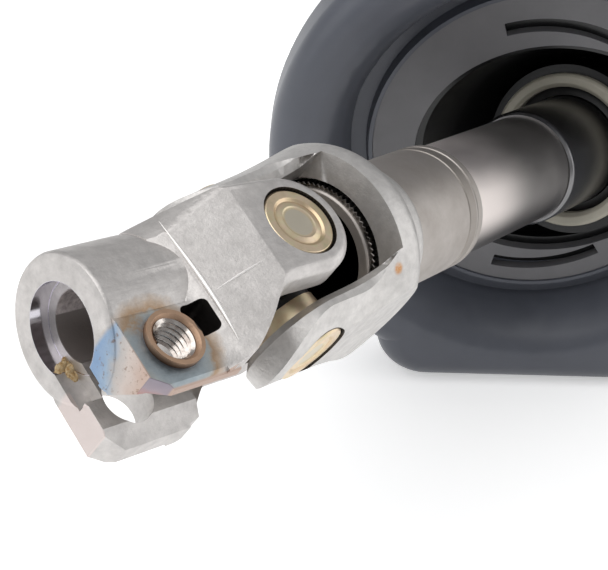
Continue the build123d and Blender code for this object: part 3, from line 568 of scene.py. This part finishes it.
# Painted shade: the neck's underside, turned away from the light, is darkened
upper_side = add_node(tree, "VectorMath", {0: across, 1: (0, -0.42, 0.906)}, operation="DOT_PRODUCT")
neck_light_and_shade = add_node(tree, "Mix", {0: region(tree, (upper_side, 0.0085, -0.0010)), "A": neck_light_and_shade, "B": "4a4645"},
                  data_type="RGBA")
neck = region(tree, (x, STEP - 0.0001, STEP + 0.0002))
colour = add_node(tree, "Mix", {0: neck, "A": matte, "B": neck_light_and_shade}, data_type="RGBA")
band = region(tree, (x, GROOVE_BAND[0] - 0.0001, GROOVE_BAND[0] + 0.0001),
              (x, GROOVE_BAND[1] + 0.0001, GROOVE_BAND[1] - 0.0001))
tint = add_node(tree, "Math", {0: band, 1: 0.45}, operation="MULTIPLY")
colour = add_node(tree, "Mix", {0: tint, "A": colour, "B": "8f8880"}, data_type="RGBA")
# Painted shade inside the tube's hollow: near black, and matte
inside = region(tree, (radius, 0.01345, 0.01335))
colour = add_node(tree, "Mix", {0: inside, "A": colour, "B": "0c0b0b"}, data_type="RGBA")
dull = add_node(tree, "MapRange", {0: cloud, 1: 0.25, 2: 0.75, 3: 0.55, 4: 0.46})
dull = add_node(tree, "Math", {0: neck, 1: -0.12, 2: dull}, operation="MULTIPLY_ADD")
dull_inside = add_node(tree, "Math", {0: inside, 1: 0.8}, operation="MULTIPLY")
roughness = add_node(tree, "Math", {0: dull, 1: dull_inside}, operation="MAXIMUM")
marks = add_node(tree, "Math", {0: drawn, 1: 0.8}, operation="MULTIPLY")
height = add_node(tree, "Math", {0: lines, 1: neck, 2: marks}, operation="MULTIPLY_ADD")
steel_surface(tree, colour, roughness, height, 0.16, 0.0001)
wear(smooth_copy("steering_tube", "drawn_steering_tube", 0.0002), drawn_steel)

# Serrated rings. The tube is pressed into its fork over a knurled steel band, which still shows as a
# ring of fine dark teeth between the tube's end and the seat of the fork.
# Its look: steel painted dark for the shade between the tube's end and the fork, in 2.4 mm patches, that only shines
# on its teeth, with a 0.56 mm grain
TEETH, TOOTH, RING_LENGTH, RING_WALL, KNURL_STATION = 84, 0.0006, 0.0036, 0.0008, 0.0236
for name, place, body, inner in (
        ("upper_knurled_ring", TUBE @ along(KNURL_STATION), "tube", 0.01578),
        ("lower_knurled_ring", TUBE @ along(LOWER_STATION - KNURL_STATION), "slip_end", 0.01163)):
    dark_knurl_steel, tree, where = bare_material("knurled_steel_painted_shade")
    oil = add_node(tree, "TexNoise", {"Vector": where, "Scale": 1000 / 2.381, "Detail": 3.0, "Roughness": 0.6})
    colour = add_node(tree, "Mix", {0: add_node(tree, "MapRange", {0: oil, 1: 0.4, 2: 0.65}),
                                    "A": "2b2826", "B": "8f8a86"}, data_type="RGBA")
    grain = add_node(tree, "TexNoise", {"Vector": where, "Scale": 1000 / 0.5556, "Detail": 3.0, "Roughness": 0.6})
    steel_surface(tree, colour, 0.3, grain, 0.3, 0.0002)
    crest = inner + 0.0010
    bpy.ops.mesh.primitive_cylinder_add(vertices=2 * TEETH, radius=crest, depth=RING_LENGTH, end_fill_type="NOTHING")
    ring = bpy.context.object
    for point in ring.data.vertices:
        if point.index // 2 % 2:
            point.co.xy *= 1 - TOOTH / crest
    wall = ring.modifiers.new("wall", "SOLIDIFY")
    wall.thickness, wall.offset = RING_WALL, -1
    bpy.ops.object.modifier_apply(modifier=wall.name)
    edge = ring.modifiers.new("worn_edges", "BEVEL")
    edge.width, edge.segments, edge.limit_method = 0.00008, 1, "ANGLE"
    bpy.ops.object.modifier_apply(modifier=edge.name)
    wear(ring, dark_knurl_steel)
    seat(ring, name, place @ turn("Y", 90), body)

# Bush sleeve. A steel sleeve pressed on the tube's neck, ground and polished for the boot's bush to
# run on.
# Its look: dark and even, in clouds of 5.6 by 17 mm, with grinding rings 0.24 mm apart
polished, tree, local = bare_material("ground_polished_steel", TUBE)
x = add_node(tree, "SeparateXYZ", {0: local}).outputs[0]
rings = add_node(tree, "TexNoise", {"Vector": add_node(tree, "CombineXYZ", {0: x}), "Scale": 1000 / 0.2381,
                                    "Detail": 2.0, "Roughness": 0.6})
crosswise = add_node(tree, "Mapping", {"Vector": local, "Scale": (1000 / 5.556, 1000 / 16.67, 1000 / 16.67)})
cloud = add_node(tree, "TexNoise", {"Vector": crosswise, "Scale": 1.0, "Detail": 4.0, "Roughness": 0.6})
colour = add_node(tree, "Mix", {0: add_node(tree, "MapRange", {0: cloud, 1: 0.3, 2: 0.7}),
                                "A": "7c7b7c", "B": "868586"}, data_type="RGBA")
steel_surface(tree, colour, 0.27, rings, 0.08, 0.00004)
wear(smooth_copy("bush_sleeve", "polished_bush_sleeve"), polished)

# Slip shaft. A steel bar, turned and splined, whose stem passes into the lower fork. It slides in
# the nylon lining of the tube's end.
# Its look: clean steel in 9 mm clouds, with feed marks 0.33 mm apart
turned_steel, tree, local = bare_material("turned_shaft_steel", TUBE)
x = add_node(tree, "SeparateXYZ", {0: local}).outputs[0]
feed = add_node(tree, "TexNoise", {"Vector": add_node(tree, "CombineXYZ", {0: x}), "Scale": 1000 / 0.3333,
                                   "Detail": 2.0, "Roughness": 0.6})
cloud = add_node(tree, "TexNoise", {"Vector": local, "Scale": 1000 / 9.091, "Detail": 4.0, "Roughness": 0.6})
colour = add_node(tree, "Mix", {0: add_node(tree, "MapRange", {0: cloud, 1: 0.3, 2: 0.7}),
                                "A": "8f8c89", "B": "b4b1ae"}, data_type="RGBA")
dull = add_node(tree, "MapRange", {0: cloud, 1: 0.3, 2: 0.7, 3: 0.26, 4: 0.36})
steel_surface(tree, colour, dull, feed, 0.2, 0.0001)
wear(smooth_copy("slip_shaft", "splined_slip_shaft", 0.00015), turned_steel)

# Fork weld. A bead of weld steel, laid by hand round the slip shaft's stem, which holds it in the
# lower fork.
# Its look: ripples of 1.4 mm, brown in 3.3 mm patches from the heat
bead_steel, tree, local = bare_material("weld_bead_steel", TUBE)
ripple = add_node(tree, "TexNoise", {"Vector": local, "Scale": 1000 / 1.4286, "Detail": 3.0})
burnt = add_node(tree, "TexNoise", {"Vector": local, "Scale": 1000 / 3.333, "Detail": 3.0, "Roughness": 0.6})
colour = add_node(tree, "Mix", {0: add_node(tree, "MapRange", {0: burnt, 1: 0.35, 2: 0.65}),
                                "A": "7d6f63", "B": "aaa49e"}, data_type="RGBA")
steel_surface(tree, colour, 0.38, ripple, 0.6, 0.0004)
wear(smooth_copy("fork_weld", "fork_weld_bead", 0.0002, 60), bead_steel)

# Spline lining. White nylon, moulded in the tube's end with the spline's form.
# Its look: milky in 11 mm clouds, with light showing a little way in
nylon, tree, where = bare_material("moulded_white_nylon")
milk = add_node(tree, "TexNoise", {"Vector": where, "Scale": 1000 / 11.11, "Detail": 3.0, "Roughness": 0.6})
colour = add_node(tree, "Mix", {0: add_node(tree, "MapRange", {0: milk, 1: 0.35, 2: 0.7}),
                                "A": "d6d1c1", "B": "e4e0d2"}, data_type="RGBA")
shader = add_node(tree, "BsdfPrincipled", {"Base Color": colour, "Roughness": 0.45, "Subsurface Weight": 0.1,
                                           "Subsurface Scale": 0.001})
add_node(tree, "OutputMaterial", {"Surface": shader})
wear(nodes["spline_lining"], nylon)


# Boot rim. Thick moulded rubber that seals on the bulkhead: blue-grey, satin on its rounded crest
# and darker in the groove.
def boot_material(name, dark, light, roughness, relief, cloud_size=22.22):
    """Moulded black or grey polymer: two near shades in soft clouds, 22 mm across unless stated, a moulded
    grain of 0.9 mm and a sheen."""
    material, tree, where = bare_material(name)
    cloud = add_node(tree, "TexNoise", {"Vector": where, "Scale": 1000 / cloud_size, "Detail": 5.0,
                                        "Roughness": 0.62})
    colour = add_node(tree, "Mix", {0: add_node(tree, "MapRange", {0: cloud, 1: 0.3, 2: 0.72}),
                                    "A": dark, "B": light}, data_type="RGBA")
    grain = add_node(tree, "TexNoise", {"Vector": where, "Scale": 1000 / 0.9091, "Detail": 3.0, "Roughness": 0.65})
    bump = add_node(tree, "Bump", {"Strength": relief, "Distance": 0.0002, "Height": grain})
    shine = add_node(tree, "MapRange", {0: cloud, 1: 0.25, 2: 0.75, 3: roughness + 0.02, 4: roughness - 0.02})
    shader = add_node(tree, "BsdfPrincipled", {"Base Color": colour, "Roughness": shine, "Normal": bump})
    add_node(tree, "OutputMaterial", {"Surface": shader})
    return material


wear(smooth_copy("boot_rim", "moulded_boot_rim", 0.0009, 60),
     boot_material("satin_blue_grey_rubber", "565961", "5f626b", 0.36, 0.10, 33.33))

# Boot plate. A stiff ring of glass-filled nylon, 98 mm across and 3.2 mm thick, clipped in the
# rim. Its hole is oval, and two long curved slots lie near its edge, above and below the tube.
BOOT = Matrix.Translation((-0.01369, 0.00797, 0.0785))
PLATE_R, PLATE_BACK, PLATE_THICK = 0.0492, 0.0094, 0.0032
PLATE_MIDDLE = PLATE_BACK - PLATE_THICK / 2
HOLE_HALF_HEIGHT, HOLE_HALF_WIDTH, HOLE_AT = 0.0352, 0.0398, (-0.003, -0.002)
SLOT_R, SLOT_WIDTH, SLOT_AT = 0.0410, 0.0038, (0.0015, -0.0015)
SLOTS = ((73.0, 52.0), (-77.0, -45.0))  # start and sweep in degrees, from +Y towards +Z
bpy.ops.object.select_all(action="DESELECT")
bpy.ops.mesh.primitive_cylinder_add(vertices=128, radius=PLATE_R, depth=PLATE_THICK, location=(PLATE_MIDDLE, 0, 0),
                                    rotation=(0, math.pi / 2, 0))
plate = bpy.context.object
bpy.ops.mesh.primitive_cylinder_add(vertices=96, radius=1.0, depth=4 * PLATE_THICK,
                                    location=(PLATE_MIDDLE, *HOLE_AT), rotation=(0, math.pi / 2, 0))
oval = bpy.context.object
oval.scale = (HOLE_HALF_HEIGHT, HOLE_HALF_WIDTH, 1.0)
cutters = [oval]
for start, sweep in SLOTS:
    bpy.ops.mesh.primitive_plane_add(size=1.0, location=(PLATE_MIDDLE, SLOT_R, 0))
    slot = bpy.context.object
    slot.scale = (4 * PLATE_THICK, SLOT_WIDTH, 1.0)
    bpy.ops.object.transform_apply(location=True, rotation=True, scale=True)
    bpy.ops.object.mode_set(mode="EDIT")
    bpy.ops.mesh.select_all(action="SELECT")
    bpy.ops.mesh.spin(steps=28, angle=-math.radians(sweep), center=(0, 0, 0), axis=(1, 0, 0))
    bpy.ops.mesh.select_all(action="SELECT")
    bpy.ops.mesh.normals_make_consistent(inside=False)
    bpy.ops.object.mode_set(mode="OBJECT")
    slot.matrix_world = Matrix.Translation((0, *SLOT_AT)) @ turn("X", start)
    cutters.append(slot)
for cutter in cutters:
    bpy.ops.object.select_all(action="DESELECT")
    bpy.context.view_layer.objects.active = cutter
    cutter.select_set(True)
    bpy.ops.object.transform_apply(location=True, rotation=True, scale=True)
    bpy.context.view_layer.objects.active = plate
    opening = plate.modifiers.new("opening", "BOOLEAN")
    opening.operation, opening.solver, opening.object = "DIFFERENCE", "EXACT", cutter
    bpy.ops.object.modifier_apply(modifier=opening.name)
    bpy.data.objects.remove(cutter)
bpy.ops.object.select_all(action="DESELECT")
plate.select_set(True)
bpy.context.view_layer.objects.active = plate
edge = plate.modifiers.new("moulded_edges", "BEVEL")
edge.width, edge.segments, edge.limit_method = 0.0004, 2, "ANGLE"
bpy.ops.object.modifier_apply(modifier=edge.name)
bpy.ops.object.shade_smooth_by_angle(angle=math.radians(32))
flat = plate.modifiers.new("flat_faces", "WEIGHTED_NORMAL")
flat.keep_sharp = True
bpy.ops.object.modifier_apply(modifier=flat.name)
wear(plate, boot_material("moulded_dark_grey_nylon", "6f6e70", "7c7b7d", 0.42, 0.14))
seat(plate, "slotted_boot_plate", BOOT, "boot")
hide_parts("boot_plate")

# Boot cone. Thin glossy black rubber, moulded in one with its flange, which the plate holds, and
# with the neck round the bush.
wear(smooth_copy("boot_cone", "moulded_boot_cone", 0.0005, 50),
     boot_material("glossy_black_rubber", "0c0c0d", "151516", 0.26, 0.05))

# Bush. A beige acetal ring, turned and pushed in the boot's neck, that runs on the polished
# sleeve.
wear(smooth_copy("boot_bush", "turned_boot_bush", 0.0003, 40),
     boot_material("beige_acetal", "a8a394", "bab5a6", 0.42, 0.05))
